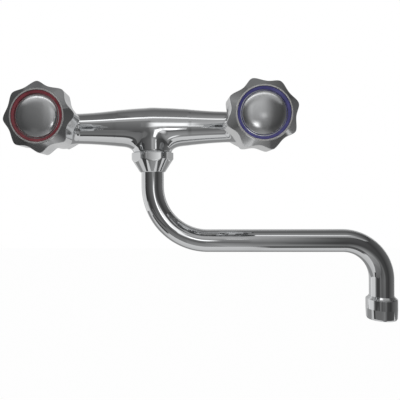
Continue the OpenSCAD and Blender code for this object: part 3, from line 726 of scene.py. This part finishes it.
def card(name, centre, right, up, tones, soft=0.0):
    """Card that only mirrors see, from its centre and its two half sides: its tone runs smoothly
    between those of its four corners, from the low left one round by the low right one, and it fades
    out over the outer share soft."""
    side = card_cells + 1
    steps = np.linspace(-1.0, 1.0, side)
    s, t = (v.ravel() for v in np.meshgrid(steps, steps))
    points = np.array(centre) + np.outer(s, right) + np.outer(t, up)
    low_left, low_right, high_right, high_left = tones
    tone = ((1 - t) * ((1 - s) * low_left + (1 + s) * low_right)
            + (1 + t) * ((1 - s) * high_left + (1 + s) * high_right)) / 4
    inside = 1 - np.maximum(np.abs(s), np.abs(t))
    share = np.clip(inside / soft, 0.0, 1.0) if soft else np.ones_like(s)
    cover = share ** 2 * (3 - 2 * share)
    corner = (np.arange(card_cells)[:, None] * side + np.arange(card_cells)).ravel()
    faces = np.stack([corner, corner + 1, corner + side + 1, corner + side], -1)
    thing = sheet(name, points.tolist(), faces.tolist(), card_material)
    for label, values in (("tone", tone), ("cover", cover)):
        attribute = thing.data.attributes.new(label, "FLOAT", "POINT")
        attribute.data.foreach_set("value", values.astype(np.float32))
    thing.visible_camera = thing.visible_diffuse = thing.visible_shadow = False


floor_half, floor_level = 4.0, -0.62
floor_corners = [(x * floor_half, y * floor_half, floor_level)
                 for x, y in ((-1, -1), (1, -1), (1, 1), (-1, 1))]
sheet("floor", floor_corners, [(0, 1, 2, 3)], white_paper("floor_paper", 0.95))

# In front of the tap, from left to right: dark, paler in the middle and towards the top, dark.
card("front_left", (-0.50, -0.95, 0.05), (0.42, 0, 0), (0, 0, 0.60), (0.04, 0.08, 0.25, 0.12))
card("front_left_low", (-0.36, -0.94, -0.38), (0.18, 0, 0), (0, 0, 0.16),
     (0.19, 0.19, 0.16, 0.16), 0.6)
card("front_middle", (0.08, -0.95, 0.05), (0.16, 0, 0), (0, 0, 0.60), (0.08, 0.07, 0.46, 0.36))
card("front_right", (0.37, -0.95, 0.05), (0.13, 0, 0), (0, 0, 0.60), (0.12, 0.04, 0.13, 0.52))
card("front_far_right", (0.83, -0.95, 0.05), (0.33, 0, 0), (0, 0, 0.60), (0.05, 0.04, 0.05, 0.12))

# Nearer: a glow and a pale window that the caps' domes mirror, the round spot on the cold one, and a
# small pane for the line down the boss.
card("near_flank", (0.00, -0.30, 0.02), (0.045, 0, 0), (0, 0, 0.11), (0.12, 0.22, 0.95, 0.25), 0.4)
card("near_spot", (0.049, -0.298, -0.066), (0.036, 0, 0), (0, 0, 0.036), (2.4, 2.4, 2.4, 2.4), 1.0)
card("near_window", (0.075, -0.30, 0.05), (0.055, 0, 0), (0, 0, 0.10),
     (0.24, 0.30, 0.55, 0.65), 0.6)
card("near_pane", (0.106, -0.298, 0.009), (0.018, 0, 0), (0, 0, 0.008), (1.2, 1.2, 1.2, 1.2), 0.4)

# Between the knobs, where their fronts don't see them: the lines on the tube's bend, on the arms
# beside the boss and on the outlet nut's front flat.
card("near_bar", (0.027, -0.085, -0.073), (0.008, 0, 0), (0, 0, 0.020), (1.1, 1.1, 1.1, 1.1), 0.4)
card("near_patch", (0.018, -0.084, 0.008), (0.032, 0, 0), (0, 0, 0.011),
     (1.1, 1.5, 1.5, 1.1), 0.7)
card("nut_glow", (0.0065, -0.085, -0.023), (0.0085, 0, 0), (0, 0, 0.006),
     (0.14, 1.0, 1.0, 0.14), 0.3)

# The walls to the right, to the left and behind, and a dark card beside the hot knob.
card("right_wall", (1.15, -0.10, 0.05), (0, 0.85, 0), (0, 0, 0.60), (0.055, 0.26, 0.12, 0.045))
card("left_front", (-0.85, -0.70, 0.05), (0, -0.25, 0), (0, 0, 0.60), (0.05, 0.045, 0.08, 0.12))
card("left_side", (-0.85, -0.32, 0.10), (0, -0.13, 0), (0, 0, 0.55), (0.36, 0.06, 0.20, 0.32))
card("left_back", (-0.85, 0.21, 0.10), (0, -0.40, 0), (0, 0, 0.55), (0.76, 0.74, 0.56, 0.54))
card("left_near", (-0.14, -0.0975, 0.0), (0, -0.0375, 0), (0, 0, 0.10),
     (0.035, 0.035, 0.08, 0.08), 0.1)
card("back", (0.10, 0.90, 0.08), (1.10, 0, 0), (0, 0, 0.56), (0.66, 0.40, 0.36, 0.66))

# Above: a bright strip for the line along the arms, under a darker ceiling.
card("top_strip", (0.05, -0.385, 0.46), (0.60, 0, 0), (0, 0.045, 0.0316),
     (1.9, 0.80, 0.80, 1.9), 0.6)
card("top_front", (0.15, -0.72, 0.62), (1.0, 0, 0), (0, -0.24, 0), (0.65, 0.20, 0.48, 0.28))
card("top_left", (-0.50, -0.16, 0.62), (0.35, 0, 0), (0, 0.32, 0), (0.35, 0.16, 0.12, 0.20))
card("top_middle", (0.0, -0.16, 0.62), (0.15, 0, 0), (0, 0.32, 0), (0.24, 0.28, 0.15, 0.14))
card("top_right", (0.65, -0.16, 0.62), (0.50, 0, 0), (0, 0.32, 0), (0.40, 0.06, 0.05, 0.09))
card("top_back", (0.15, 0.48, 0.62), (1.0, 0, 0), (0, 0.32, 0), (0.24, 0.06, 0.06, 0.75))

# Below: dark in front, pale from the tap backwards, and dim ones close under the knobs.
card("low_left", (-0.47, -0.605, -0.45), (0.40, 0, 0), (0, 0.355, 0), (0.12, 0.16, 0.22, 0.14))
card("low_middle", (0.02, -0.605, -0.45), (0.09, 0, 0), (0, 0.355, 0), (0.16, 0.20, 0.32, 0.28))
card("low_right", (0.28, -0.605, -0.45), (0.17, 0, 0), (0, 0.355, 0), (0.24, 0.06, 0.07, 0.40))
card("low_far_right", (0.79, -0.605, -0.45), (0.34, 0, 0), (0, 0.355, 0), (0.06, 0.05, 0.10, 0.08))
card("low_back", (0.15, -0.05, -0.45), (1.0, 0, 0), (0, 0.20, 0), (0.66, 0.72, 0.56, 0.56))
card("low_far", (0.15, 0.525, -0.45), (1.0, 0, 0), (0, 0.375, 0), (0.28, 0.28, 0.30, 0.30))
card("under_hot_knob", (-0.275, -0.14, -0.30), (0.135, 0, 0), (0, 0.05, 0),
     (0.05, 0.05, 0.05, 0.05), 0.1)
card("under_cold_knob", (0.375, -0.15, -0.30), (0.255, 0, 0), (0, 0.055, 0),
     (0.10, 0.05, 0.05, 0.10), 0.08)
card("hot_shade", (-0.09, -0.118, -0.12), (0.07, 0, 0), (0, 0.018, 0),
     (0.06, 0.08, 0.08, 0.06), 0.1)
card("cold_shade", (0.085, -0.118, -0.12), (0.04, 0, 0), (0, 0.018, 0),
     (0.28, 0.16, 0.16, 0.28), 0.1)


def looking(right, rise, forward, place):
    """Matrix of a lamp or camera at place, which looks forward and has right and rise across it."""
    columns = np.column_stack([right, rise, -forward, place])
    return Matrix(np.vstack([columns, (0, 0, 0, 1)]).tolist())


lamp_place, lamp_aim = np.array([0.05, -0.385, 0.46]), np.array([0.05, -0.034, -0.04])
lamp_wide, lamp_deep, lamp_radiance = 1.2, 0.085, 1.9
lamp_data = bpy.data.lights.new("top_lamp", "AREA")
lamp_data.shape = "RECTANGLE"
lamp_data.size = lamp_wide
lamp_data.size_y = lamp_deep
lamp_data.energy = lamp_radiance * math.pi * lamp_wide * lamp_deep
lamp = bpy.data.objects.new("top_lamp", lamp_data)
bpy.context.scene.collection.objects.link(lamp)
forward = (lamp_aim - lamp_place) / np.linalg.norm(lamp_aim - lamp_place)
right = np.cross(forward, (0.0, 0.0, 1.0))
right /= np.linalg.norm(right)
lamp.matrix_world = looking(right, np.cross(right, forward), forward, lamp_place)
lamp.visible_camera = False
lamp.visible_glossy = False

world = bpy.data.worlds.new("surround")
bpy.context.scene.world = world
world.use_nodes = True
tree = world.node_tree
backing = tree.nodes["Background"]
backing.inputs["Color"].default_value = (1.0, 1.0, 1.0, 1.0)
level = tree.nodes.new("ShaderNodeMapRange")
level.inputs["To Min"].default_value = 0.80
level.inputs["To Max"].default_value = 1.0
tree.links.new(camera_or_mirror(tree), level.inputs["Value"])
tree.links.new(level.outputs["Result"], backing.inputs["Strength"])

# ---- Camera ---------------------------------------------------------------------------------------
# A normal lens close in front of the tap, almost level, looking slightly to the left, and shifted so
# that the spout's whole reach is in view. Its focal length and the point straight ahead of it are in
# pixels of a square view of the given width; the sensor's width is in millimetres.

view_width, sensor_width = 400.0, 36.0
focal, ahead_x, ahead_y = 459.7375, 145.016, 188.659
yaw, roll = -0.0484481, -0.0063953
eye = np.array([0.011744, -0.405253, -0.048948])

forward = np.array([math.sin(yaw), math.cos(yaw), 0.0])
right = np.array([math.cos(yaw), -math.sin(yaw), 0.0])
rise = np.cross(right, forward)
tilted_right = math.cos(roll) * right + math.sin(roll) * rise
tilted_rise = -math.sin(roll) * right + math.cos(roll) * rise
lens = bpy.data.cameras.new("camera")
lens.sensor_width = sensor_width
lens.lens = sensor_width * focal / view_width
lens.shift_x = (view_width / 2 - ahead_x) / view_width
lens.shift_y = (ahead_y - view_width / 2) / view_width
lens.clip_start = 0.01
camera = bpy.data.objects.new("camera", lens)
bpy.context.scene.collection.objects.link(camera)
camera.matrix_world = looking(tilted_right, tilted_rise, forward, eye)
bpy.context.scene.camera = camera
bpy.context.scene.view_settings.view_transform = "Standard"
